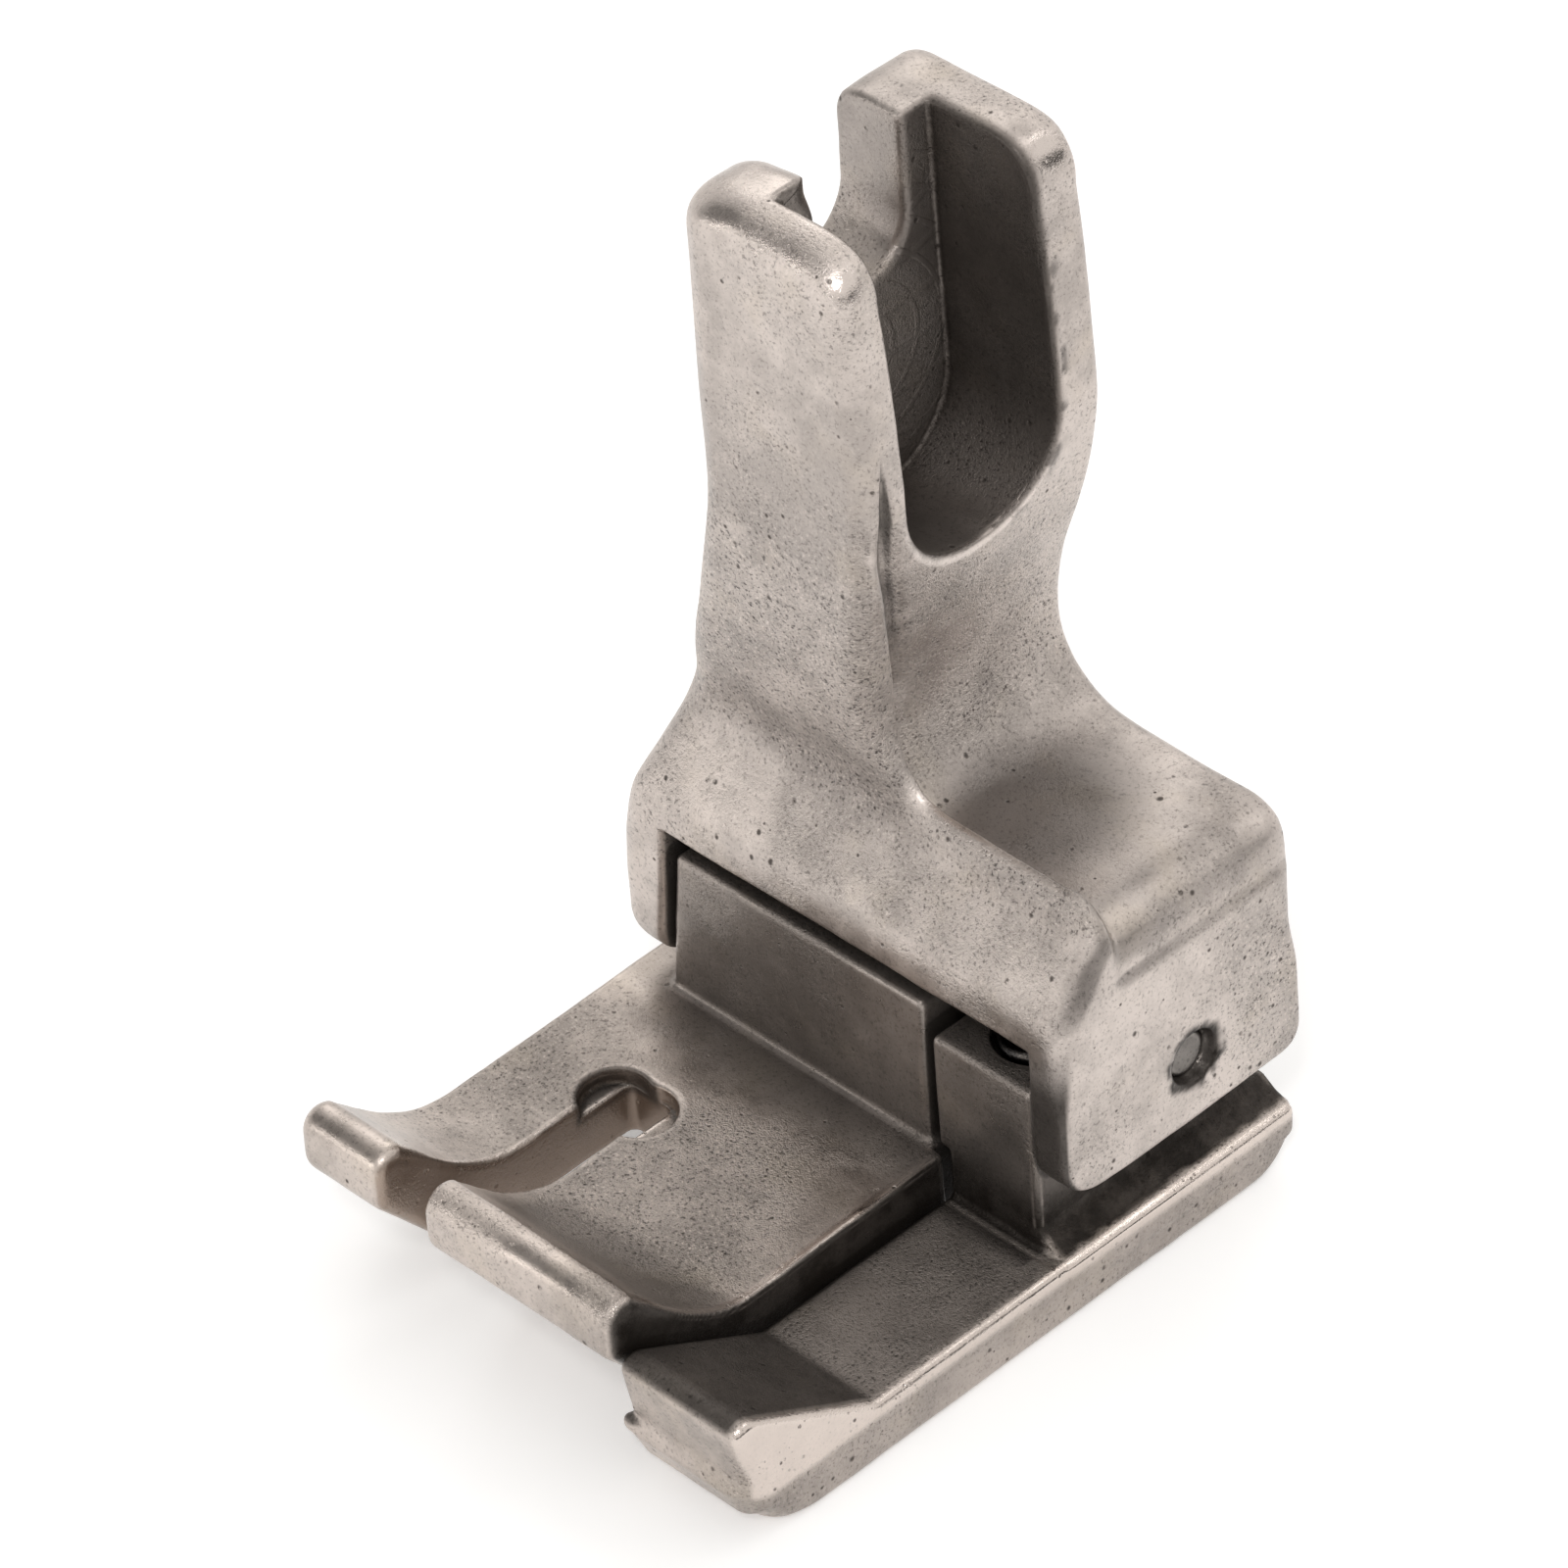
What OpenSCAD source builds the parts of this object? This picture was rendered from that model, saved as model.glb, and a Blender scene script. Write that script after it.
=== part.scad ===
// Compensating presser foot for an industrial sewing machine.
// A cast yoke hangs on the presser bar, and two sprung toes hinge side by side on one cross pin.
// X runs to the operator's right, Y to the back of the machine, Z up along the presser bar.
// The layout below is written from the foot of the toe blocks: X from the middle of the left block,
// Y from the blocks' front faces, Z from the left toe's top. stand_at_screw() then moves the origin
// to the screw slot, where the bar's clamp screw crosses the channel floor.

/* [Shank] */
// Width of the channel, the presser bar's diameter plus slack
channel_w = 7.2; // [6.4:0.1:8]
// Thickness of the left wall, which the clamp screw bears on
left_wall = 3.2; // [2.4:0.1:3.6]
// Width of the screw slot
slot_w = 4; // [3.6:0.1:4.4]
// Width of the shank from left face to right face
shank_w = 8.3; // [7.6:0.1:9]
// Height of the prongs' tops above the left toe
shank_top = 35.6; // [33:0.1:40]

/* [Yoke] */
// Width of the yoke across its cheeks
yoke_w = 21.6; // [20.8:0.1:22]
// Depth of the yoke from front lip to back
yoke_d = 11.6; // [11:0.1:12]
// Height of the right shoulder above the left toe
shoulder_z = 11.45; // [11:0.05:13]
// Height of the cavity's ceiling above the left toe
ceiling_z = 7.2; // [7:0.05:7.6]

/* [Toes] */
// Width of the left toe's plate
left_toe_w = 15.35; // [14.8:0.05:15.6]
// Width of the right toe's plate
right_toe_w = 5.65; // [5.4:0.05:6]
// Length of the toes from nose to back edge
toe_len = 26.65; // [25:0.05:27]
// Thickness of the left toe's plate
left_plate_t = 2.9; // [2.2:0.1:3]
// How much lower the right sole is than the left sole
sole_drop = 1.3; // [1:0.1:1.8]
// Width of the needle slot
needle_slot_w = 2.1; // [1.6:0.1:2.4]

/* [Hinge] */
// Diameter of the cross pin
pin_d = 1.8; // [1.5:0.1:2]
// Radial clearance of the pin in the toes
pin_play = 0.04; // [0.02:0.01:0.08]
// Outer diameter of the toe springs
spring_d = 2.8; // [2.2:0.1:3]
// Wire diameter of the toe springs
wire_d = 0.45; // [0.35:0.05:0.6]

/* [Hidden] */
$fn = 64;
cast_colour = [0.70, 0.67, 0.64];
toe_colour = [0.62, 0.59, 0.56];
pin_colour = [0.52, 0.52, 0.52];
spring_colour = [0.12, 0.12, 0.13];
through = 60;

// Toes, across the foot
left_toe_x0 = -8.6;
left_toe_x1 = left_toe_x0 + left_toe_w;
toe_gap = 0.1;
right_toe_x0 = left_toe_x1 + toe_gap;
right_toe_x1 = right_toe_x0 + right_toe_w;
nose_y = -15.55;
toe_back_y = nose_y + toe_len;
left_sole_z = -left_plate_t;
right_sole_z = left_sole_z - sole_drop;
right_top_z = -1.75;

// Toe blocks, which fill the yoke's cavity
block_x0 = -5.95;
block_x1 = 6;
block_flare = 0.65;
right_block_x0 = block_x1 + 0.4;
right_block_x1 = 11.1;
block_d = 10.2;
left_block_z = 6.2;
right_block_z = 5;
heel_d = 2;
stop_gap = 0.05;
heel_z = ceiling_z - stop_gap;
block_side_play = 0.15;

// Yoke
yoke_x0 = -8.7;
yoke_x1 = yoke_x0 + yoke_w;
lip_y = -0.3;
back_y = lip_y + yoke_d;
left_cheek_z = 0.5;
right_cheek_z = 0.8;
shank_x0 = -3.7;
shank_x1 = shank_x0 + shank_w;
shank_front_y = 0.15;
shank_draft = 0.45;
shoulder_r = 2.05;
waist_x = shank_x1 - 2.4;
waist_r = 3.1;
web_x = shank_x1 - 1.7;
web_z = shoulder_z + 1.15;
web_fillet_r = 2;
web_back_y = 2.5;
channel_x = shank_x0 + left_wall;
channel_y = 5.75;
channel_low_z = 21.4;
screw_z = 31.7;

// Hinge and springs
pin_y = 5.9;
pin_z = 3.9;
pin_recess = 0.35;
pin_recess_d = pin_d + 0.5;
spring_y = 2.5;
left_spring_x = 0;
right_spring_x = (right_toe_x0 + right_block_x1) / 2;
pocket_d = spring_d + 0.4;
left_seat_z = 3.2;
right_seat_z = 2.2;
ceiling_seat_z = ceiling_z + 1.4;

// Points of an arc in a plane, from angle a0 to angle a1
function arc(c, r, a0, a1, steps = 10) =
    [for (i = [0:steps]) let (a = a0 + (a1 - a0) * i / steps) [c[0] + r * cos(a), c[1] + r * sin(a)]];

// Moves the layout so that the clamp screw's axis meets the channel floor at the origin
module stand_at_screw() {
    translate([-channel_x, -channel_y, -screw_z]) children();
}

// Extrudes an outline drawn in X and Z along Y, from y0 to y1
module along_y(y0, y1) {
    translate([0, y1, 0]) rotate([90, 0, 0]) linear_extrude(y1 - y0) children();
}

// Extrudes an outline drawn in Y and Z along X, from x0 to x1
module along_x(x0, x1) {
    translate([x0, 0, 0]) rotate([90, 0, 90]) linear_extrude(x1 - x0) children();
}

// A round bar along X at height z and depth y
module bar_x(r, x0, x1, y, z) {
    translate([x0, y, z]) rotate([0, 90, 0]) cylinder(r = r, h = x1 - x0);
}

// Right flank of the yoke and shank: level shoulder, concave fillet up to the waist, and a flare to the shank
function right_flank(level_z, waist_x, fillet_r, flare_z) = concat(
    arc([yoke_x1 - shoulder_r, level_z - shoulder_r], shoulder_r, 0, 90),
    arc([waist_x + fillet_r, level_z + fillet_r], fillet_r, 270, 180),
    [[waist_x + 0.5, flare_z - 4.6], [waist_x + 1.4, flare_z - 2.4], [shank_x1, flare_z]]
);

// Front outline of the yoke and shank: flared left flank, waisted right flank
module yoke_front_outline() {
    left_top_r = 1.6;
    right_top_r = 2.1;
    cheek_r = 1.6;
    polygon(concat(
        arc([yoke_x0 + cheek_r, left_cheek_z + cheek_r], cheek_r, 180, 270),
        [[block_x1, left_cheek_z], [block_x1, right_cheek_z], [yoke_x1, right_cheek_z]],
        right_flank(web_z, web_x, web_fillet_r, 24),
        arc([shank_x1 - shank_draft - right_top_r, shank_top - right_top_r], right_top_r, 2, 90),
        arc([shank_x0 + left_top_r, shank_top - left_top_r], left_top_r, 90, 180),
        [[shank_x0, 23], [shank_x0 - 0.6, 20.4], [shank_x0 - 1.4, 17.8], [shank_x0 - 3.25, 12.5]],
        [[shank_x0 - 4.45, 8.2], [yoke_x0, 5]]
    ));
}

// Scoop behind the web: it drops the shoulder and waists the shank a little more than the web does
module scoop() {
    far_x = yoke_x1 + 5;
    along_y(web_back_y, through)
        polygon(concat(
            [[far_x, shoulder_z - shoulder_r]],
            right_flank(shoulder_z, waist_x, waist_r, 22.4),
            [[far_x, 22.4]]
        ));
}

// Plan outline that rounds the yoke's upright corners
module yoke_plan_outline() {
    corner_r = 1.2;
    polygon(concat(
        arc([yoke_x1 - corner_r, back_y - corner_r], corner_r, 0, 90),
        arc([yoke_x0 + corner_r, back_y - corner_r], corner_r, 90, 180),
        arc([yoke_x0 + corner_r, lip_y + corner_r], corner_r, 180, 270),
        arc([yoke_x1 - corner_r, lip_y + corner_r], corner_r, 270, 360)
    ));
}

// Side outline of the yoke and shank: the front is dished between the lip and the shank
module yoke_side_outline() {
    front_foot_r = 1.6;
    lip_r = 1.8;
    back_foot_r = 1.2;
    top_r = 1.2;
    dish_r = 1.1;
    dish_y = 0.8;
    dish_z = 12.5;
    polygon(concat(
        arc([lip_y + front_foot_r, left_cheek_z + front_foot_r], front_foot_r, 180, 270),
        arc([back_y - back_foot_r, left_cheek_z + back_foot_r], back_foot_r, 270, 360),
        arc([back_y - top_r, shank_top - top_r], top_r, 0, 90),
        arc([shank_front_y + top_r, shank_top - top_r], top_r, 90, 180),
        [[shank_front_y, 22.2]],
        arc([dish_y, dish_z], dish_r, 14, -32, 6),
        arc([lip_y + lip_r, 8], lip_r, 148, 180, 4)
    ));
}

// Channel that the presser bar lies in, open to the right and at the top
module bar_channel() {
    r = channel_w / 2;
    bar_x(r, channel_x, through, channel_y, channel_low_z + r);
    translate([channel_x, channel_y - r, channel_low_z + r]) cube([through, channel_w, through]);
}

// Slot that lets the clamp screw drop in from above
module screw_slot() {
    r = slot_w / 2;
    bar_x(r, -through, channel_x, channel_y, screw_z);
    translate([-through, channel_y - r, screw_z]) cube([through + channel_x, slot_w, through]);
}

// Cavity under the yoke, open in front, below and behind
module toe_cavity() {
    x0 = block_x0 - block_side_play;
    x1 = right_block_x1 + block_side_play;
    along_y(-through, through)
        polygon([
            [x0, ceiling_z],
            [x0 - block_flare, 0],
            [x0 - block_flare, -through],
            [x1, -through],
            [x1, ceiling_z]
        ]);
}

// Round pocket for one end of a spring
module spring_pocket(x, z0, z1) {
    translate([x, spring_y, z0]) cylinder(d = pocket_d, h = z1 - z0);
}

module yoke() {
    color(cast_colour) stand_at_screw() difference() {
        intersection() {
            along_y(lip_y, back_y) yoke_front_outline();
            along_x(yoke_x0, yoke_x1) yoke_side_outline();
            linear_extrude(through) yoke_plan_outline();
        }
        scoop();
        bar_channel();
        screw_slot();
        toe_cavity();
        bar_x(pin_d / 2, -through, through, pin_y, pin_z);
        bar_x(pin_recess_d / 2, yoke_x1 - pin_recess, through, pin_y, pin_z);
        for (x = [left_spring_x, right_spring_x]) spring_pocket(x, 0, ceiling_seat_z);
    }
}

module hinge_pin() {
    color(pin_colour) stand_at_screw()
        bar_x(pin_d / 2, yoke_x0 + pin_recess, yoke_x1 - pin_recess, pin_y, pin_z);
}

// Side outline of the left toe's plate: flat, with a ski nose that turns up and a blunt round tip
module left_plate_outline() {
    upper_r = 8.15;
    sole_r = 3;
    tip_r = 0.9;
    tip_y = nose_y + tip_r;
    heel_r = 1.8;
    polygon(concat(
        [[toe_back_y, 0], [0, 0]],
        arc([-7.5, upper_r - 0.2], upper_r, 268, 218),
        arc([tip_y, 2.2], tip_r, 65, 180),
        arc([tip_y, 1.35], tip_r, 180, 225, 5),
        arc([-10.85, left_sole_z + sole_r], sole_r, 225, 270, 6),
        arc([toe_back_y - heel_r, left_sole_z + heel_r], heel_r, 270, 360)
    ));
}

// Needle slot: open at the nose, with a wide shallow recess round its closed end
module needle_slot() {
    slot_x = -3.55;
    slot_end_y = -4.05;
    recess_y = -5.25;
    recess_r = 1.3;
    recess_reach = 0.65;
    recess_depth = 0.8;
    translate([slot_x - needle_slot_w / 2, nose_y - 5, -through])
        cube([needle_slot_w, slot_end_y - nose_y + 5, 2 * through]);
    for (side = [-1, 1])
        translate([slot_x + side * recess_reach, recess_y, -recess_depth]) cylinder(r = recess_r, h = through);
}

// Outline of a toe block seen from the side, with the raised heel that rests on the ceiling
module block_side_outline(top_z, low_z) {
    polygon([
        [0, low_z],
        [block_d, low_z],
        [block_d, heel_z],
        [block_d - heel_d, heel_z],
        [block_d - heel_d, top_z],
        [0, top_z]
    ]);
}

module left_toe() {
    color(toe_colour) stand_at_screw() difference() {
        union() {
            along_x(left_toe_x0, left_toe_x1) left_plate_outline();
            intersection() {
                along_x(left_toe_x0, block_x1) block_side_outline(left_block_z, left_sole_z + 1);
                along_y(-1, toe_back_y)
                    polygon([
                        [block_x0, heel_z],
                        [block_x0, left_block_z],
                        [block_x0 - block_flare, 0],
                        [block_x0 - block_flare, left_sole_z],
                        [block_x1, left_sole_z],
                        [block_x1, heel_z]
                    ]);
            }
        }
        needle_slot();
        // Behind the blocks' front faces the plate is cut back to clear the right toe
        translate([right_block_x0 - toe_gap, -0.1, -through]) cube([through, through, 2 * through]);
        bar_x(pin_d / 2 + pin_play, -through, through, pin_y, pin_z);
        spring_pocket(left_spring_x, left_seat_z, through);
    }
}

// Side outline of the right toe's plate: flat tread with a wedge nose
module right_plate_outline() {
    heel_r = 2;
    ridge_z = 1.25;
    polygon(concat(
        [[toe_back_y, right_top_z], [-9, right_top_z], [nose_y + 0.9, ridge_z]],
        [[nose_y + 0.3, ridge_z], [nose_y, ridge_z - 0.4], [nose_y + 0.45, right_top_z]],
        [[nose_y + 0.2, right_top_z - 0.4], [nose_y + 0.35, right_sole_z + 1.5]],
        [[nose_y + 1.2, right_sole_z + 0.45], [nose_y + 2.6, right_sole_z]],
        arc([toe_back_y - heel_r, right_sole_z + heel_r], heel_r, 270, 360)
    ));
}

module right_toe() {
    plate_clear_y = 2.3;
    gutter_z = -1.08;
    rim_z = -1.95;
    rim_w = 0.2;
    color(toe_colour) stand_at_screw() difference() {
        union() {
            along_x(right_toe_x0, right_toe_x1) right_plate_outline();
            along_x(right_toe_x0, right_block_x1) block_side_outline(right_block_z, right_sole_z + 2);
            // The block is wider above the left toe's plate, which passes in front of it
            along_x(right_block_x0, right_toe_x0 + 1) {
                block_side_outline(right_block_z, toe_gap);
                // Behind the left plate's edge it reaches down beside the left block
                polygon([[plate_clear_y, -3], [toe_back_y, -3], [block_d, 1], [plate_clear_y, 1]]);
            }
            // Beside the block the tread slopes down to the rim, so that oil and lint run off
            along_y(0, toe_back_y)
                polygon([
                    [right_block_x1 - 1, gutter_z],
                    [right_block_x1, gutter_z],
                    [right_toe_x1 - rim_w, rim_z],
                    [right_block_x1 - 1, rim_z]
                ]);
        }
        bar_x(pin_d / 2 + pin_play, -through, through, pin_y, pin_z);
        spring_pocket(right_spring_x, right_seat_z, through);
    }
}

// Outer envelope of a coil spring, from its seat in the block to its seat in the yoke
module toe_spring(x, z0) {
    translate([x, spring_y, z0]) difference() {
        cylinder(d = spring_d, h = ceiling_seat_z - z0);
        translate([0, 0, -1]) cylinder(d = spring_d - 2 * wire_d, h = ceiling_seat_z - z0 + 2);
    }
}

module left_spring() {
    color(spring_colour) stand_at_screw() toe_spring(left_spring_x, left_seat_z);
}

module right_spring() {
    color(spring_colour) stand_at_screw() toe_spring(right_spring_x, right_seat_z);
}

yoke();
hinge_pin();
left_toe();
right_toe();
left_spring();
right_spring();
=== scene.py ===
"""Looks for the compensating presser foot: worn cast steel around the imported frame.

Each casting is a signed distance field in millimetres, meshed here and given procedural steel.
The layout frame is the one the part is designed in: X to the operator's right, Y to the back,
Z up from the foot of the toe blocks. to_row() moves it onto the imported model.
"""

import math

import bpy
import numpy as np
from mathutils import Matrix, Vector


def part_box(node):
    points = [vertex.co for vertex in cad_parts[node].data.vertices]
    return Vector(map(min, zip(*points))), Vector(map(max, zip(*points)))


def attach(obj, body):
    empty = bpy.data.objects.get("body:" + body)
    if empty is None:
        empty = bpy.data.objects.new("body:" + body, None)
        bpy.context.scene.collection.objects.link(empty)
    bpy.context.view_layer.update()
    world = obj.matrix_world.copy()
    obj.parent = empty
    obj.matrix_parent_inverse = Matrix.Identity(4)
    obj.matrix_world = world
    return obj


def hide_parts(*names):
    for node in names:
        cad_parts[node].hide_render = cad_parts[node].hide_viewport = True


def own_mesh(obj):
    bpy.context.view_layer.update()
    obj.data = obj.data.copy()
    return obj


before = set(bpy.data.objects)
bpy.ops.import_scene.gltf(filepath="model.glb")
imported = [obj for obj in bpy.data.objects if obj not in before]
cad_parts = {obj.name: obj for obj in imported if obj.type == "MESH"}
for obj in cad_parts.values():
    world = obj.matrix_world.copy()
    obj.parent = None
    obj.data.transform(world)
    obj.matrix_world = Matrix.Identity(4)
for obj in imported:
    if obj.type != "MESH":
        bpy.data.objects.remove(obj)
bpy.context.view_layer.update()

MM = 0.001
STEP = 0.13

# Where the layout frame lies in the row's frame, from the yoke's lowest corner
YOKE_LOW = np.array([-8.7, -0.3, 0.5])
ROW_SHIFT = np.array(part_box("yoke")[0]) / MM - YOKE_LOW

# Toes
LEFT_TOE_X = (-8.6, 6.75)
RIGHT_TOE_X = (6.85, 12.5)
TOE_BACK_Y = 11.1
LEFT_SOLE_Z = -2.9
RIGHT_SOLE_Z = -4.2
RIGHT_TOP_Z = -1.75
BLOCK_D = 10.2
HEEL_Y = 8.2
HEEL_Z = 7.15

# Yoke and shank
YOKE_X = (-8.7, 12.9)
BACK_Y = 11.3
CEILING_Z = 7.2
SHANK_LEFT_X = -3.7
SHANK_TOP_Z = 35.6
SHOULDER_Z = 11.45
WEB_BACK_Y = 2.75
CHANNEL_X = -0.5
CHANNEL_Y = 5.75
CHANNEL_R = 3.6
CHANNEL_END_Z = 25.0
SLOT_R = 2.0
SLOT_END_Z = 31.7

# Hinge pin and springs
PIN_Y = 5.9
PIN_Z = 3.9
PIN_R = 0.9
PIN_SUNK = 0.35
BORE_GAP = 0.04
SPRING_Y = 2.5
SPRING_R = 1.4
WIRE_R = 0.225
POCKET_R = 1.6
LEFT_SPRING_X = 0.0
RIGHT_SPRING_X = 8.975
LEFT_SEAT_Z = 3.2
RIGHT_SEAT_Z = 2.2
SPRING_TOP_Z = 8.6
SPRING_TURNS = 6.5


def to_row(points):
    """Layout millimetres to the row's metres."""
    return (np.asarray(points, float) + ROW_SHIFT) * MM


# ---------------------------------------------------------------- outlines and fields

def arc(centre, r, a0, a1, steps=18):
    """Points of an arc in a plane, from angle a0 to a1 in degrees."""
    angles = np.radians(np.linspace(a0, a1, steps + 1))
    return [(centre[0] + r * math.cos(a), centre[1] + r * math.sin(a)) for a in angles]


def flow(points, steps=6):
    """A smooth curve through the points (Catmull-Rom), ends included."""
    p = [points[0]] + list(points) + [points[-1]]
    p = np.asarray(p, float)
    curve = []
    for i in range(1, len(p) - 2):
        a, b, c, d = p[i - 1:i + 3]
        for t in np.arange(steps) / steps:
            curve.append(tuple(0.5 * (2 * b + (c - a) * t + (2 * a - 5 * b + 4 * c - d) * t ** 2
                                      + (3 * b - a - 3 * c + d) * t ** 3)))
    return curve + [tuple(p[-2])]


def outline(points, u, v):
    """Signed distance in a plane to a closed outline, negative inside."""
    u, v = np.broadcast_arrays(np.asarray(u, float), np.asarray(v, float))
    best = np.full(u.shape, np.inf)
    inside = np.zeros(u.shape, bool)
    for (ua, va), (ub, vb) in zip(points, points[1:] + points[:1]):
        eu, ev = ub - ua, vb - va
        length2 = eu * eu + ev * ev
        if length2 < 1e-10:
            continue
        du, dv = u - ua, v - va
        t = np.clip((du * eu + dv * ev) / length2, 0, 1)
        best = np.minimum(best, (du - eu * t) ** 2 + (dv - ev * t) ** 2)
        if abs(ev) > 1e-9:
            inside ^= ((va > v) != (vb > v)) & (u < ua + eu * (v - va) / ev)
    return np.where(inside, -1, 1) * np.sqrt(best)


def between(a, low, high):
    """Distance to the slab low..high of one coordinate, negative inside."""
    return np.maximum(low - a, a - high)


def join(a, b, r):
    """Union with a concave fillet of radius r."""
    return np.maximum(r, np.minimum(a, b)) - np.hypot(np.maximum(r - a, 0), np.maximum(r - b, 0))


def keep(a, b, r):
    """Intersection with its edge rounded to radius r."""
    return np.minimum(-r, np.maximum(a, b)) + np.hypot(np.maximum(r + a, 0), np.maximum(r + b, 0))


def cut(a, b, r):
    """a without b, with the edge rounded to radius r."""
    return keep(a, -b, r)


def ease(a, low, high):
    """0 below low, 1 above high, smooth between."""
    t = np.clip((a - low) / (high - low), 0, 1)
    return t * t * (3 - 2 * t)


def noise(p, size, seed):
    """Smooth random field from -1 to 1 with bumps about size across, at points p."""
    q = np.asarray(p, float) / size
    cell = np.floor(q)
    f = q - cell
    f = f * f * (3 - 2 * f)
    cell = cell.astype(np.int64)
    total = np.zeros(len(q))
    for corner in range(8):
        bit = np.array([corner & 1, corner >> 1 & 1, corner >> 2 & 1])
        h = (cell + bit) @ np.array([73856093, 19349663, 83492791]) + seed * 2654435761
        h = (h ^ (h >> 13)) * 1274126177 & 0x7FFFFFFF
        h = (h ^ (h >> 16)) * 668265263 & 0x7FFFFFFF
        weight = np.where(bit == 1, f, 1 - f).prod(1)
        total += weight * (h / 0x3FFFFFFF - 1)
    return total


# ---------------------------------------------------------------- meshing

def surface_net(field, low, high, step):
    """Vertices in millimetres and quads of the field's zero surface inside the box."""
    axes = [np.arange(low[i] - 2 * step, high[i] + 3 * step, step) for i in range(3)]
    x, y, z = np.ix_(*axes)
    shape = tuple(len(a) for a in axes)
    d = np.broadcast_to(field(x, y, z), shape)
    inside = d < 0
    count = np.zeros(tuple(n - 1 for n in shape), np.int8)
    for corner in range(8):
        view = tuple(slice(corner >> i & 1, shape[i] - 1 + (corner >> i & 1)) for i in range(3))
        count += inside[view]
    mixed = (count > 0) & (count < 8)
    index = np.full(mixed.shape, -1, np.int64)
    index[mixed] = np.arange(mixed.sum())
    total = np.zeros((mixed.sum(), 3))
    hits = np.zeros(mixed.sum())
    quads = []
    for axis in range(3):
        lower = [slice(None)] * 3
        upper = [slice(None)] * 3
        lower[axis] = slice(0, -1)
        upper[axis] = slice(1, None)
        a, b = d[tuple(lower)], d[tuple(upper)]
        where = np.argwhere((a < 0) != (b < 0))
        da, db = a[tuple(where.T)], b[tuple(where.T)]
        point = where.astype(float)
        point[:, axis] += da / (da - db)
        u, v = (axis + 1) % 3, (axis + 2) % 3
        ring = []
        for du, dv in ((-1, -1), (0, -1), (0, 0), (-1, 0)):
            cell = where.copy()
            cell[:, u] += du
            cell[:, v] += dv
            cell_id = index[tuple(cell.T)]
            ring.append(cell_id)
            for k in range(3):
                total[:, k] += np.bincount(cell_id, point[:, k], len(hits))
            hits += np.bincount(cell_id, minlength=len(hits))
        ring = np.stack(ring, 1)
        ring[da >= 0] = ring[da >= 0][:, ::-1]
        quads.append(ring)
    origin = np.array([a[0] for a in axes])
    return origin + step * total / hits[:, None], np.concatenate(quads)


def slope(field, p, h):
    """Unit outward normals of the field at points p."""
    g = np.empty_like(p)
    for k in range(3):
        offset = np.zeros(3)
        offset[k] = h
        a, b = (p + offset).T, (p - offset).T
        g[:, k] = field(*a) - field(*b)
    return g / np.maximum(np.linalg.norm(g, axis=1, keepdims=True), 1e-12)


def fair(field, verts, quads, step):
    """Evens the mesh out along the surface and puts its vertices on the zero surface."""
    edges = np.concatenate([quads[:, [i, (i + 1) % 4]] for i in range(4)])
    degree = np.bincount(edges[:, 0], minlength=len(verts)) + np.bincount(edges[:, 1], minlength=len(verts))
    for _ in range(3):
        n = slope(field, verts, step * 0.4)
        verts = verts - n * np.clip(field(*verts.T), -step, step)[:, None]
        mean = np.stack([np.bincount(edges[:, 0], verts[edges[:, 1], k], len(verts))
                         + np.bincount(edges[:, 1], verts[edges[:, 0], k], len(verts)) for k in range(3)], 1)
        pull = mean / degree[:, None] - verts
        pull -= n * (pull * n).sum(1, keepdims=True)
        verts = verts + 0.5 * pull
    n = slope(field, verts, step * 0.4)
    return verts - n * np.clip(field(*verts.T), -step, step)[:, None], n


# Vertex paints: edge wear, how shut in each point is (for painted shade), old oil with painted shade, rust,
# coarse skin, and polish with painted highlights
PAINTS = ("edge", "nook", "hollow", "soot_and_shade", "rust", "grit", "polish_and_highlight")


def clearance(fields, p):
    """Distance from points p to the nearest of several pieces."""
    return np.min([np.broadcast_to(f(*p.T), len(p)) for f in fields], axis=0)


def build(name, field, low, high, body, material, step=None, relief=None, neighbours=(), stains_and_light=None):
    """Meshes a field into a piece with its wear, how shut in it is (for painted shade), and its stains,
    painted shade and painted highlights stored on its vertices.
    """
    step = step or STEP
    verts, quads = surface_net(field, low, high, step)
    verts, normals = fair(field, verts, quads, step)
    edge = np.clip(1 + field(*(verts - 0.45 * normals).T) / 0.45, 0, 1)
    # How shut in each point is, near and far: the steel paints shade from these
    near = np.clip(1 - clearance((field, *neighbours), verts + 0.5 * normals) / 0.5, 0, 1)
    far = np.clip(1 - clearance((field, *neighbours), verts + 1.8 * normals) / 1.8, 0, 1)
    painted = stains_and_light(verts, normals) if stains_and_light else {}
    if relief is not None:
        verts = verts + normals * relief(verts)[:, None]
    mesh = bpy.data.meshes.new(name)
    mesh.from_pydata(to_row(verts).tolist(), [], quads.tolist())
    mesh.validate()
    painted.update(edge=edge, nook=near, hollow=far)
    for key in PAINTS:
        value = painted.get(key, 0 * edge).astype(np.float32)
        mesh.attributes.new(key, "FLOAT", "POINT").data.foreach_set("value", value)
    mesh.shade_smooth()
    mesh.materials.append(material)
    piece = bpy.data.objects.new(name, mesh)
    bpy.context.collection.objects.link(piece)
    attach(piece, body)
    return piece


# ---------------------------------------------------------------- yoke

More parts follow.
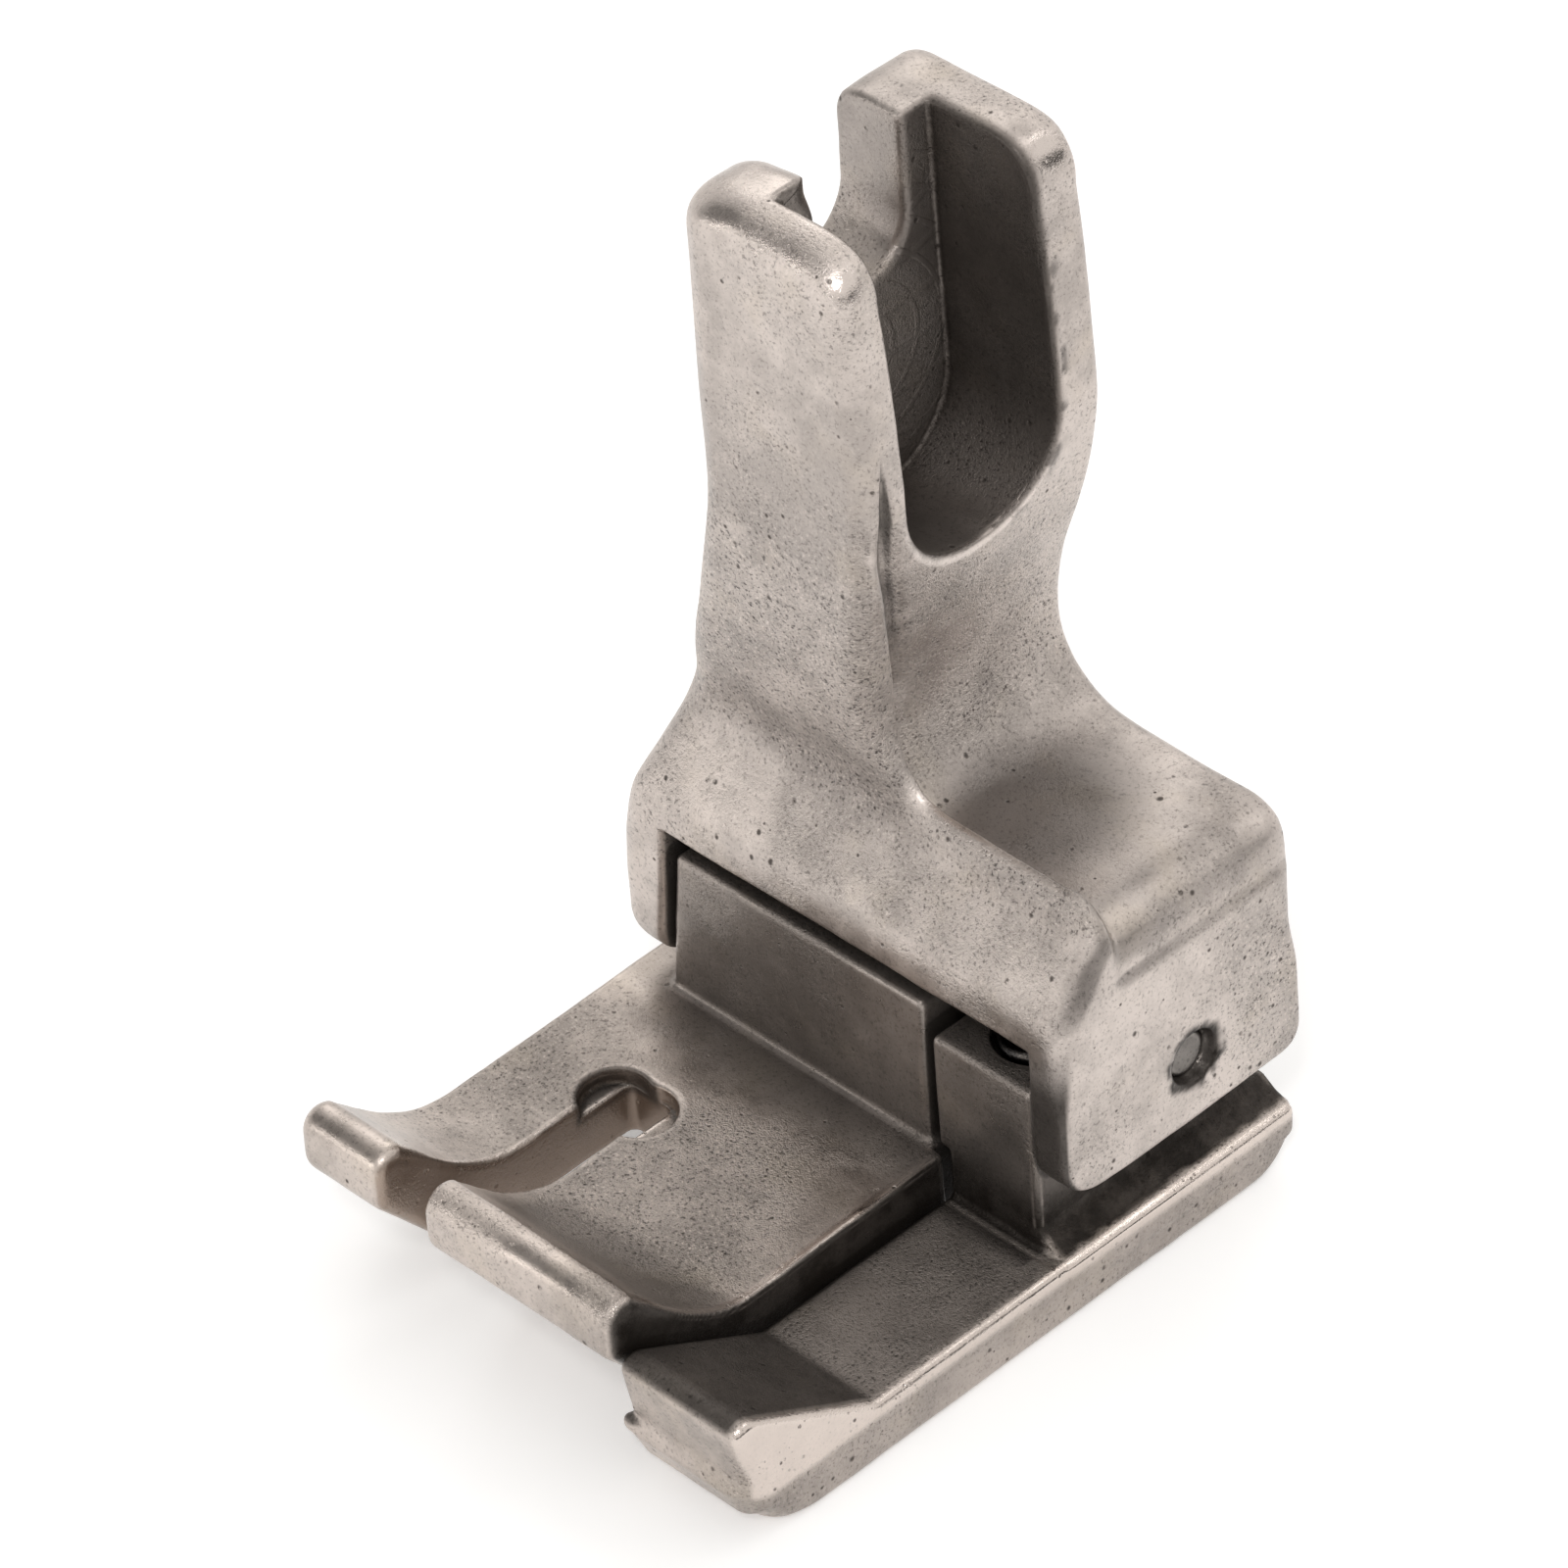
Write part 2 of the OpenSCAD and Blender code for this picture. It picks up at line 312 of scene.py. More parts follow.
WEB_FLANK = flow([(10.9, 12.6), (7.5, 12.62), (5.0, 12.75), (3.95, 13.3), (3.3, 14.4), (3.15, 16.0),
                  (3.5, 18.2), (4.0, 20.4), (4.45, 22.6), (4.68, 24.8), (4.62, 28.0), (4.42, 31.0),
                  (4.2, 33.0)])
WEB_BACK = [(10.6, 12.25), (5.0, 12.3), (3.5, 12.9), (2.7, 14.3), (2.5, 16.0), (3.1, 18.4), (3.8, 20.6),
            (4.35, 22.9), (4.5, 25.2), (4.5, 29.0)]
SCOOP_FLANK = flow([(10.85, SHOULDER_Z), (8.0, SHOULDER_Z), (5.7, 11.5), (4.2, 11.8), (3.1, 12.6),
                    (2.45, 13.8), (2.35, 15.4), (2.75, 17.4), (3.6, 19.6), (4.35, 21.6), (5.0, 24.4)])
LEFT_FLANK = flow([(SHANK_LEFT_X, 33.0), (SHANK_LEFT_X - 0.08, 27.5), (-3.78, 23.0), (-4.3, 20.4),
                   (-5.1, 17.8), (-6.1, 15.2), (-6.98, 12.5), (-7.6, 10.1), (-8.15, 8.2), (-8.55, 6.4),
                   (-8.7, 4.6), (-8.7, 3.2)])
YOKE_FRONT = (arc((-7.1, 2.1), 1.6, 180, 270) + [(6.0, 0.5), (6.0, 0.8)] + arc((12.1, 1.6), 0.8, 270, 360)
              + arc((10.9, 10.6), 2.0, 0, 90) + WEB_FLANK
              + arc((2.0, SHANK_TOP_Z - 2.2), 2.2, 5, 90)
              + arc((SHANK_LEFT_X + 1.5, SHANK_TOP_Z - 1.5), 1.5, 90, 180)
              + LEFT_FLANK)
SCOOP = [(18.0, 9.45)] + arc((10.85, 9.4), 2.05, 2, 90) + SCOOP_FLANK + [(18.0, 24.4)]
RAMP = flow([(0.2, 33.0), (0.2, 26.0), (0.25, 22.0), (0.42, 19.4), (0.8, 16.8), (1.3, 14.5), (1.72, 13.1),
             (1.85, 12.2), (1.6, 11.3), (0.95, 10.3), (0.25, 9.3), (-0.15, 8.6), (-0.3, 7.8), (-0.3, 6.5)])
YOKE_SIDE = (RAMP + arc((1.7, 2.75), 2.0, 180, 262) + [(3.8, 0.6), (5.8, 0.5), (7.9, 0.6)]
             + arc((BACK_Y - 1.3, 2.05), 1.3, 272, 360)
             + arc((BACK_Y - 0.8, SHANK_TOP_Z - 0.8), 0.8, 0, 90)
             + arc((2.1, SHANK_TOP_Z - 1.9), 1.9, 90, 180))
CAVITY = [(-6.12, CEILING_Z), (-6.75, 0.0), (-6.75, -9.0), (11.25, -9.0), (11.25, CEILING_Z)]


def pin_distance(y, z):
    """Distance to the hinge pin's axis."""
    return np.hypot(y - PIN_Y, z - PIN_Z)


def spring_pocket(x, y, spring_x):
    """Distance to a spring pocket's wall, negative inside."""
    return np.hypot(x - spring_x, y - SPRING_Y) - POCKET_R


def upright_groove(y, z, r, end_z):
    """A groove of half-width r that runs up from its round end at end_z."""
    return np.hypot(y - CHANNEL_Y, np.minimum(z - end_z, 0)) - r


def near_line(points, u, v):
    """Distance in a plane to an open line through the points."""
    best = np.inf
    for (ua, va), (ub, vb) in zip(points, points[1:]):
        eu, ev = ub - ua, vb - va
        t = np.clip(((u - ua) * eu + (v - va) * ev) / (eu * eu + ev * ev), 0, 1)
        best = np.minimum(best, (u - ua - eu * t) ** 2 + (v - va - ev * t) ** 2)
    return np.sqrt(best)


def web_back(z):
    """Where the web's right flank steps back behind the shank's front."""
    return WEB_BACK_Y - 1.85 * ease(z, 15.5, 24.5)


def yoke_field(x, y, z):
    """The casting: outer form, scoop, bar channel, screw slot, cavity, pin holes and spring pockets."""
    corner_r = (1.0 + 0.5 * ease(-x, 1.0, 3.0) * ease(z, 9.0, 14.0) * (1 - ease(y, 4.0, 7.0))
                - 0.45 * ease(y, 6.0, 9.0) * ease(z, 17.0, 22.0)
                - 0.6 * ease(x, 9.0, 11.0) * ease(-z, -7.0, -4.5))
    # The right cheek's foot is a little higher than the left one's
    foot_z = z - 0.22 * ease(x, 5.0, 9.0) * ease(-z, -4.0, -1.0)
    body = keep(outline(YOKE_FRONT, x, z), outline(YOKE_SIDE, y, foot_z), corner_r)
    scoop = keep(outline(SCOOP, x, z), web_back(z) - y, 0.35)
    body = cut(body, scoop, 0.6)
    crease_r = 0.4 - 0.12 * ease(z, 15.0, 20.0) - 0.4 * ease(z, 23.0, 29.0)
    body = cut(body, np.hypot(near_line(WEB_BACK, x, z), y - web_back(z) - 0.3) - crease_r, 0.35)
    channel_y = 0.05 + 0.02 * (z - CHANNEL_END_Z)
    channel = keep(upright_groove(y + channel_y, z, CHANNEL_R - 0.08, CHANNEL_END_Z), CHANNEL_X - x, 0.15)
    body = cut(body, channel, 0.25)
    slot = np.maximum(upright_groove(y, z, SLOT_R, SLOT_END_Z), x - CHANNEL_X - 1)
    body = cut(body, slot, 0.3 + 0.6 * ease(z, 33.4, 34.6) * ease(CHANNEL_Y - y, 0.0, 1.0))
    body = cut(body, outline(CAVITY, x, z), 0.3)
    body = cut(body, pin_distance(y, z) - PIN_R - 0.02, 0.1)
    dent_r = np.hypot(y - PIN_Y - 0.1, z - PIN_Z + 0.03)
    body = cut(body, np.maximum(dent_r - 1.1 + 0.4 * (YOKE_X[1] - x), YOKE_X[1] - 0.4 - x), 0.06)
    for spring_x in (LEFT_SPRING_X, RIGHT_SPRING_X):
        body = cut(body, np.maximum(spring_pocket(x, y, spring_x), z - SPRING_TOP_Z), 0.1)
    return body


def yoke_relief(p):
    """How far the cast skin waves in and out."""
    return 0.035 * noise(p, 3.1, 1) + 0.012 * noise(p, 0.9, 2)


# ---------------------------------------------------------------- toes

PLATE_TOP = flow([(2.0, 0.0), (0.0, 0.0), (-3.2, -0.12), (-7.4, -0.25), (-9.3, -0.3), (-10.6, 0.0),
                  (-11.9, 0.75), (-12.9, 1.6), (-13.6, 2.35), (-14.2, 2.95)])
LEFT_PLATE = (arc((9.3, LEFT_SOLE_Z + 1.8), 1.8, 270, 360) + [(TOE_BACK_Y, 0.0)] + PLATE_TOP
              + arc((-14.65, 2.2), 0.92, 55, 180) + arc((-14.65, 1.35), 0.92, 180, 225)
              + arc((-10.85, LEFT_SOLE_Z + 3), 3.0, 225, 270))
LEFT_BLOCK = [(-5.95, 9.0), (-5.95, 6.2), (-6.6, 0.0), (-6.6, -1.5), (6.0, -1.5), (6.0, 9.0)]
SLOT_X = -3.55
SLOT_END_Y = -4.05
SLOT_HALF_W = 1.05
RECESS_R = 1.3
RECESS_Y = -5.25
RECESS_X = (-4.1, -2.8)
RECESS_DEPTH = 0.8


def block_side(y, z, top_z, low_z, r):
    """Side outline of a toe block, with the raised heel that rests on the ceiling."""
    front = keep(between(y, 0, BLOCK_D), between(z, low_z, top_z), r)
    heel = keep(between(y, HEEL_Y, BLOCK_D), between(z, low_z, HEEL_Z), r)
    return np.minimum(front, heel)


def left_toe_field(x, y, z):
    """The broad toe: upturned plate and hinge block, with the needle slot and its round recess."""
    nose = ease(-y, 12.5, 14.5)
    left_x = LEFT_TOE_X[0] - 0.18 * ease(-y, 2.0, 14.0)
    plate = keep(outline(LEFT_PLATE, y, z), between(x, left_x, LEFT_TOE_X[1]), 0.22 + 0.45 * nose)
    block = keep(outline(LEFT_BLOCK, x, z), block_side(y, z, 6.2, -1.5, 0.25), 0.25)
    toe = join(plate, block, 0.3)
    # Behind the block's front face the plate is cut back to clear the right toe
    toe = cut(toe, np.maximum(6.3 - x, -0.1 - y), 0.1)
    slot = keep(np.abs(x - SLOT_X) - SLOT_HALF_W, y - SLOT_END_Y, 0.3)
    recess = np.minimum(*(np.hypot(x - centre_x, y - RECESS_Y) for centre_x in RECESS_X)) - RECESS_R
    recess = np.maximum(recess, -RECESS_DEPTH - z)
    toe = cut(toe, np.minimum(slot, recess), 0.16 + 0.3 * nose)
    toe = cut(toe, pin_distance(y, z) - PIN_R - BORE_GAP, 0.1)
    return cut(toe, np.maximum(spring_pocket(x, y, LEFT_SPRING_X), LEFT_SEAT_Z - z), 0.15)


RIGHT_PLATE = (arc((9.1, RIGHT_SOLE_Z + 2), 2.0, 270, 360)
               + [(TOE_BACK_Y, RIGHT_TOP_Z), (-9.1, RIGHT_TOP_Z), (-14.6, 1.25)]
               + arc((-14.95, 0.75), 0.58, 70, 170, 8)
               + [(-15.15, -1.3), (-15.3, -2.1), (-14.75, -3.3)]
               + arc((-13.2, RIGHT_SOLE_Z + 1.2), 1.2, 215, 270, 8))
GUTTER = [(10.0, -1.08), (11.1, -1.08), (12.3, -1.92), (12.5, -1.95), (12.5, -3.0), (10.0, -3.0)]


def right_toe_field(x, y, z):
    """The guide toe: wedge-nosed plate, gutter beside the cheek, and its hinge block."""
    corner_r = 0.35 + 0.85 * ease(x, 9.5, 11.5) * ease(-y, 12.0, 14.5) * ease(-z, -1.0, 2.5)
    plate = keep(outline(RIGHT_PLATE, y, z), between(x, *RIGHT_TOE_X), corner_r)
    block = keep(block_side(y, z, 5.0, -3.0, 0.25), between(x, RIGHT_TOE_X[0], 11.1), 0.2)
    # The block is wider above the left toe's plate, which passes in front of it
    wide_block = keep(block_side(y, z, 5.0, 0.1, 0.25), between(x, 6.4, 9.0), 0.2)
    side_heel = np.maximum(between(y, 2.3, TOE_BACK_Y - 0.6), between(z, -3.0, 2.0))
    side_heel = keep(side_heel, between(x, 6.4, 9.0), 0.2)
    block = np.minimum(block, np.minimum(wide_block, side_heel))
    gutter = keep(outline(GUTTER, x, z), between(y, 0, TOE_BACK_Y), 0.15)
    toe = join(join(plate, gutter, 0.15), block, 0.15)
    # A burr at the nose's left corner
    burr = np.sqrt(((x - 7.0) / 1.3) ** 2 + (y + 15.1) ** 2 + (z + 1.75) ** 2) - 0.33
    toe = join(toe, burr, 0.15)
    toe = cut(toe, pin_distance(y, z) - PIN_R - BORE_GAP, 0.1)
    return cut(toe, np.maximum(spring_pocket(x, y, RIGHT_SPRING_X), RIGHT_SEAT_Z - z), 0.15)


def toe_relief(p):
    """How far the toes' skin waves in and out."""
    return 0.02 * noise(p, 2.7, 3) + 0.01 * noise(p, 0.8, 4)


# ---------------------------------------------------------------- pin and springs

def pin_field(x, y, z):
    """The cross pin, its ends chamfered and sunk a little into the cheeks."""
    low, high = YOKE_X[0] + PIN_SUNK, YOKE_X[1] - PIN_SUNK
    return keep(pin_distance(y, z) - PIN_R, between(x, low, high), 0.2)


def coil(name, x, low_z, turns, material):
    """A coil spring with closed ends, as a swept tube."""
    steps, sides = 36, 12
    span = SPRING_TOP_Z - low_z - 2 * WIRE_R
    t = np.linspace(0, 1, int(turns * steps) + 1)
    rise = ease(t, 0.0, 1.0) * 0.35 + t * 0.65
    angle = t * turns * 2 * math.pi
    r = SPRING_R - WIRE_R
    centre = np.stack([x + r * np.cos(angle), SPRING_Y + r * np.sin(angle), low_z + WIRE_R + rise * span], 1)
    out = np.stack([np.cos(angle), np.sin(angle), 0 * angle], 1)
    up = np.array([0.0, 0.0, 1.0])
    verts = []
    for k in range(sides):
        a = 2 * math.pi * k / sides
        verts.append(centre + WIRE_R * (math.cos(a) * out + math.sin(a) * up))
    verts = np.stack(verts, 1).reshape(-1, 3)
    faces = []
    for i in range(len(t) - 1):
        for k in range(sides):
            j = (k + 1) % sides
            faces.append((i * sides + k, i * sides + j, (i + 1) * sides + j, (i + 1) * sides + k))
    faces.append(tuple(range(sides))[::-1])
    faces.append(tuple(len(verts) - sides + k for k in range(sides)))
    mesh = bpy.data.meshes.new(name)
    mesh.from_pydata(to_row(verts).tolist(), [], faces)
    mesh.shade_smooth()
    mesh.materials.append(material)
    piece = bpy.data.objects.new(name, mesh)
    bpy.context.collection.objects.link(piece)
    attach(piece, "foot")
    return piece


# ---------------------------------------------------------------- stains, painted shade and painted highlights

def blob(p, centre, r):
    """1 within a soft ball round the centre, 0 outside it."""
    return ease(-np.linalg.norm(p - centre, axis=1), -r, -0.5 * r)


def yoke_stains_and_light(p, n):
    """Old oil in the bar channel and round the pin, darker in the cavity; coarse skin low on the shank;
    painted shade and highlights.
    """
    x, y, z = p.T
    in_channel = ease(-upright_groove(y, z, CHANNEL_R + 0.1, CHANNEL_END_Z), -0.05, 0.25)
    in_channel *= ease(x, -0.8, -0.4)
    # Old oil fills the channel; the extra darkening on walls that face front and right is painted shade
    wall = in_channel * (0.74 + 0.14 * ease(-n[:, 1], 0.2, 0.8) + 0.06 * ease(n[:, 0], 0.5, 0.9))
    slot = 0.22 * ease(-np.abs(y - CHANNEL_Y), -2.35, -2.1) * ease(-x, 0.4, 0.6) * ease(z, 29.0, 29.8)
    # Chipped dirt along the channel's rear edge
    ragged = ease(-np.abs(upright_groove(y, z, CHANNEL_R, CHANNEL_END_Z) - 0.1), -0.4, -0.1)
    ragged *= ease(x, 3.9, 4.3) * ease(y, 5.0, 7.5) * ease(-z, -32.0, -30.0)
    ragged *= 0.75 * ease(noise(p, 0.7, 21) + 0.5 * noise(p, 0.3, 22), 0.1, 0.5)
    cavity = ease(-outline(CAVITY, x, z), -0.15, 0.25)
    ring = np.hypot(y - PIN_Y - 0.12, z - PIN_Z) + 0.2 * noise(p, 0.3, 11)
    pin_oil = ease(-ring, -1.5, -1.22) * ease(x, 12.0, 12.4)
    front = ease(z, 10.5, 13.0) * ease(-z, -26.0, -20.0) * ease(-n[:, 1], 0.3, 0.7)
    slope = ease(z, 12.0, 13.5) * ease(-z, -24.0, -17.0) * ease(n[:, 0], 0.3, 0.7)
    # Painted shade on the scoop's upward-facing floor
    scoop_floor_shade = ease(-np.hypot(x - 6.5, 0.8 * (y - 5.5)), -5.0, -1.5) * ease(z, 10.8, 11.4)
    scoop_floor_shade *= ease(n[:, 2], 0.6, 0.9) * ease(y, 2.7, 3.4)
    rear = ease(y, 7.0, 9.5) * ease(-z, -9.5, -5.0) * ease(n[:, 0], 0.5, 0.9)
    # Painted highlights: glints on the prongs' front top corners and a lighter band on the front prong's top
    glints = np.maximum(blob(p, (4.0, 0.7, 34.6), 1.0), blob(p, (4.0, 10.2, 34.8), 1.0))
    glints = np.maximum(glints, 0.35 * ease(z, 33.3, 35.0) * ease(-y, -4.5, -3.0))
    # Painted shade on the right cheek's front face: a dark reflection of the right toe
    cheek_front_shade = 0.92 * ease(x, 10.9, 11.3) * ease(-n[:, 1], 0.35, 0.65) * ease(-z, -8.0, -5.5)
    # Painted shade along the crease behind the web
    crease_shade = np.hypot(near_line(WEB_BACK, x, z), y - web_back(z) - 0.15) + 0.1 * noise(p, 0.5, 23)
    crease_shade = 0.7 * ease(-crease_shade, -0.5, -0.2) * ease(z, 11.6, 12.4) * ease(-z, -25.0, -20.0)
    crease_shade *= 1 - ease(x, 5.0, 9.0)
    # Painted dark reflection: a streak down the shoulder's rounded right edge and its front corner
    dark_reflection_streak = ease(x, 11.6, 12.3) * ease(z, 8.2, 9.6) * ease(-np.abs(n[:, 2] - 0.3), -0.26, -0.1)
    dark_reflection_streak *= ease(n[:, 0], 0.3, 0.6) * (0.6 - 0.45 * ease(y, 0.5, 7.5))
    # Painted shade on the shoulder's top
    shoulder_shade = 0.2 * ease(x, 8.5, 9.8) * ease(z, 10.9, 11.2) * ease(n[:, 2], 0.7, 0.95)
    ramp = 0.1 * ease(z, 9.0, 10.5) * ease(-z, -16.0, -13.0) * ease(-n[:, 1], 0.3, 0.7)
    soot_and_shade = np.maximum.reduce([wall, slot, ragged, cavity, pin_oil, cheek_front_shade, crease_shade, 0.7 * scoop_floor_shade,
                              dark_reflection_streak, shoulder_shade, ramp])
    # Above the scoop floor the bare skin gets a painted highlight: lighter and smoother between its pits
    bare_highlight = blob(p, (3.3, 4.6, 16.0), 3.6) * ease(n[:, 0], 0.3, 0.7)
    grit = np.maximum.reduce([front, 0.8 * slope, 0.8 * rear])
    return {"soot_and_shade": soot_and_shade, "rust": 0.25 * in_channel, "grit": grit, "polish_and_highlight": np.maximum(glints, 0.5 * bare_highlight)}


def left_toe_stains_and_light(p, n):
    """Brown needle slot, painted shade in the recess and by the block, bare skin in the plate's middle."""
    x, y, z = p.T
    side_gap = ease(n[:, 0], 0.45, 0.8) * ease(x, 6.2, 6.6)
    # Painted shade in the round recess
    recess_shade = ease(-np.hypot(x - RECESS_X[0], y - RECESS_Y), -1.6, -1.4)
    recess_shade *= ease(-z, 0.05, 0.25) * ease(z, -1.3, -0.9)
    in_slot = ease(-np.abs(x - SLOT_X), -2.1, -1.95) * ease(-y, 3.4, 3.8) * (1 - ease(n[:, 2], 0.3, 0.8))
    in_slot *= np.maximum(ease(np.abs(n[:, 0]), 0.35, 0.7), ease(y, -9.0, -8.0))
    # Painted shade by the block: on its face and the plate before it, deeper low down
    corner = ease(y, -3.2, -0.8) * (0.65 + 0.35 * ease(-z, -6.5, -0.5)) * ease(x, -7.8, -5.0)
    valley = 0.45 * ease(x, -2.4, -1.0) * ease(n[:, 2], 0.2, 0.6)
    valley *= blob(np.stack([0 * x, y, z], 1), (0.0, -12.0, 0.3), 2.8)
    rim = ease(x, 6.3, 6.5) * ease(-n[:, 0], -0.8, -0.4) * ease(z, -0.5, -0.2) * ease(-y, 0.3, 0.6)
    middle = np.maximum(blob(p, (1.0, -7.5, 0.0), 5.5), 0.45 * blob(p, (-6.8, -8.0, 0.0), 5.0))
    tubes = ease(-y, 13.6, 14.2) * ease(z, -1.0, 0.5)
    soot_and_shade = np.maximum.reduce([side_gap, 0.8 * recess_shade, 0.04 * in_slot, 0.64 * corner, valley])
    return {"soot_and_shade": soot_and_shade, "rust": in_slot, "grit": middle, "polish_and_highlight": np.maximum(0.12 * tubes, rim)}


def right_toe_stains_and_light(p, n):
    """Oily gutter; painted shade on the tread and round it; painted highlights on the rim and ridge."""
    x, y, z = p.T
    up = ease(n[:, 2], 0.2, 0.7)
    gutter = ease(x, 11.0, 11.15) * ease(y, -0.1, 0.3) * up
    gutter *= ease(12.2 - x + 0.1 * noise(p, 0.5, 12), -0.05, 0.2)
    # Painted shade under the left toe's plate
    under_plate_shade = ease(8.2 - x, 0.0, 1.4) * ease(-y, -0.3, 0.2) * up
    # Painted shade by the block, deeper low down
    corner = ease(y, -2.5, -0.3) * (0.5 + 0.5 * ease(-z, -2.5, 0.8)) * (1 - ease(x, 11.2, 11.6))
    # Painted shade on the upward-facing tread
    tread_shade = up * ease(-y, -0.3, 0.5) * (1 - ease(x, 11.9, 12.2)) * (0.5 + 0.4 * ease(-y, 8.6, 9.4))
    # Painted highlights on the rim and along the ridge behind the tread
    rim = ease(x, 12.15, 12.35) * ease(z, -2.5, -2.1)
    ridge_highlight = ease(-np.abs(y + 0.42), -0.14, -0.04) * up * ease(-z, 1.2, 1.5)
    rim = np.maximum(rim, 0.7 * ridge_highlight)
    # Painted shade low on the right-facing side
    side = 0.26 * ease(n[:, 0], 0.6, 0.9) * ease(-z, 1.9, 2.4)
    soot_and_shade = np.maximum.reduce([gutter, 0.75 * under_plate_shade, corner, tread_shade, side])
    return {"soot_and_shade": soot_and_shade * (1 - rim), "rust": 0.4 * gutter, "grit": 0.3 * up, "polish_and_highlight": rim}


# ---------------------------------------------------------------- materials

class Graph:
    """Short calls for building a material's node tree. Coordinates are in millimetres."""

    def __init__(self, material):
        material.use_nodes = True
        self.nodes, self.links = material.node_tree.nodes, material.node_tree.links
        self.shader = self.nodes["Principled BSDF"]
        scale = self.nodes.new("ShaderNodeVectorMath")
        scale.operation = "SCALE"
        scale.inputs["Scale"].default_value = 1 / MM
        self.links.new(self.nodes.new("ShaderNodeTexCoord").outputs["Object"], scale.inputs[0])
        self.place = scale.outputs[0]

    def feed(self, socket, item):
        """Links a socket, or sets a number or a colour."""
        if isinstance(item, bpy.types.NodeSocket):
            self.links.new(item, socket)
        elif isinstance(item, tuple) and len(item) == 3 and socket.type == "RGBA":
            socket.default_value = (*item, 1.0)
        else:
            socket.default_value = item

    def noise(self, per_mm, detail=3.0, roughness=0.55):
        """Noise with per_mm bumps to the millimetre, about 0.5 on average."""
        node = self.nodes.new("ShaderNodeTexNoise")
        settings = (("Vector", self.place), ("Scale", per_mm), ("Detail", detail), ("Roughness", roughness))
        for key, item in settings:
            self.feed(node.inputs[key], item)
        return node.outputs["Fac"]

    def pits(self, per_mm, share):
        """Round spots, 1 at their centres: share of the cells have one, each of its own size."""
        node = self.nodes.new("ShaderNodeTexVoronoi")
        self.feed(node.inputs["Vector"], self.place)
        node.inputs["Scale"].default_value = per_mm
        pick = self.nodes.new("ShaderNodeSeparateColor")
        self.feed(pick.inputs[0], node.outputs["Color"])
        has = self.math("LESS_THAN", pick.outputs[0], share)
        size = self.math("MULTIPLY_ADD", pick.outputs[1], 0.28, 0.08)
        near = self.math("SUBTRACT", 1.0, self.math("DIVIDE", node.outputs["Distance"], size), clamp=True)
        return self.math("MULTIPLY", has, self.step(near, 0.0, 0.7))

    def math(self, kind, a, b=0.0, c=0.0, clamp=False):
        """One Math node of the given kind."""
        node = self.nodes.new("ShaderNodeMath")
        node.operation = kind
        node.use_clamp = clamp
        for socket, item in zip(node.inputs, (a, b, c)):
            self.feed(socket, item)
        return node.outputs[0]

    def step(self, a, low, high):
        """0 below low, 1 above high, smooth between."""
        node = self.nodes.new("ShaderNodeMapRange")
        node.interpolation_type = "SMOOTHSTEP"
        for key, item in (("Value", a), ("From Min", low), ("From Max", high)):
            self.feed(node.inputs[key], item)
        return node.outputs["Result"]

    def mix(self, fac, a, b):
        """Colour a where fac is 0, colour b where it is 1."""
        node = self.nodes.new("ShaderNodeMix")
        node.data_type = "RGBA"
        for key, item in ((0, fac), (6, a), (7, b)):
            self.feed(node.inputs[key], item)
        return node.outputs[2]

    def painted(self, key):
        """A value stored on the mesh's vertices."""
        node = self.nodes.new("ShaderNodeAttribute")
        node.attribute_name = key
        return node.outputs["Fac"]


def mill_arcs(g):
    """End-mill marks on the channel floor, the plane x = 0: two sets of thin rings that cross."""
    axis = g.nodes.new("ShaderNodeSeparateXYZ")
    g.feed(axis.inputs[0], g.place)
    x, y, z = axis.outputs
    rings = []
    for centre_y, centre_z, pitch in ((-0.4, -4.6, 1.15), (1.6, 2.0, 1.7)):
        dy, dz = g.math("SUBTRACT", y, centre_y), g.math("SUBTRACT", z, centre_z)
        r = g.math("SQRT", g.math("ADD", g.math("MULTIPLY", dy, dy), g.math("MULTIPLY", dz, dz)))
        wave = g.math("SINE", g.math("MULTIPLY", r, 2 * math.pi / pitch))
        rings.append(g.step(wave, 0.75, 1.0))
    floor_only = g.math("LESS_THAN", g.math("ABSOLUTE", x), 0.25)
    return g.math("MULTIPLY", g.math("MAXIMUM", *rings), floor_only)


